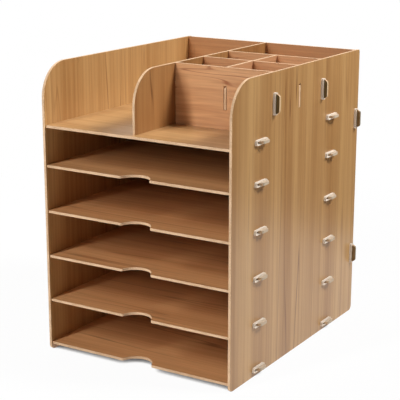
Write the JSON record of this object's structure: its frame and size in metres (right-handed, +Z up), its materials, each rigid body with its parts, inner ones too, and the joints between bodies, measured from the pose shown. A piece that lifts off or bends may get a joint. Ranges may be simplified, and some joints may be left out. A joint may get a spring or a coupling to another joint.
{
  "type": "letter tray stack",
  "caption": "Desktop organizer of plug-together boards: open letter trays with thumb notches under a deck with a file bay and a divided pen box.",
  "frame": {"origin": "on the table under the middle of the stack", "axes": "+X to the right seen from the front, +Y to the back panel, +Z up; the open fronts of the trays face -Y"},
  "size_m": [0.2644, 0.316, 0.3434],
  "materials": {
    "shell_board": "satin oak-look veneer on board, raw cut edges",
    "tray_board": "satin oak-look veneer on board, raw cut edges",
    "divider_board": "satin oak-look veneer on board, warmer tone, raw cut edges",
    "collar": "raw cut board, pale and matt"
  },
  "bodies": {
    "root": {"back_panel": "shell_board", "collar_left_back_lower": "collar", "collar_left_back_upper": "collar", "collar_left_deck_front": "collar", "collar_left_deck_rear": "collar", "collar_left_tray_1_front": "collar", "collar_left_tray_1_rear": "collar", "collar_left_tray_2_front": "collar", "collar_left_tray_2_rear": "collar", "collar_left_tray_3_front": "collar", "collar_left_tray_3_rear": "collar", "collar_left_tray_4_front": "collar", "collar_left_tray_4_rear": "collar", "collar_left_tray_5_front": "collar", "collar_left_tray_5_rear": "collar", "collar_right_back_lower": "collar", "collar_right_back_upper": "collar", "collar_right_deck_front": "collar", "collar_right_deck_rear": "collar", "collar_right_pen_box_front": "collar", "collar_right_pen_box_rear": "collar", "collar_right_tray_1_front": "collar", "collar_right_tray_1_rear": "collar", "collar_right_tray_2_front": "collar", "collar_right_tray_2_rear": "collar", "collar_right_tray_3_front": "collar", "collar_right_tray_3_rear": "collar", "collar_right_tray_4_front": "collar", "collar_right_tray_4_rear": "collar", "collar_right_tray_5_front": "collar", "collar_right_tray_5_rear": "collar", "deck_divider": "divider_board", "left_side_panel": "shell_board", "pen_box_cross": "divider_board", "pen_box_front": "divider_board", "pen_box_middle": "divider_board", "pen_box_rear": "divider_board", "right_side_panel": "shell_board", "top_deck": "tray_board", "tray_1": "tray_board", "tray_2": "tray_board", "tray_3": "tray_board", "tray_4": "tray_board", "tray_5": "tray_board"}
  },
  "joints": []
}
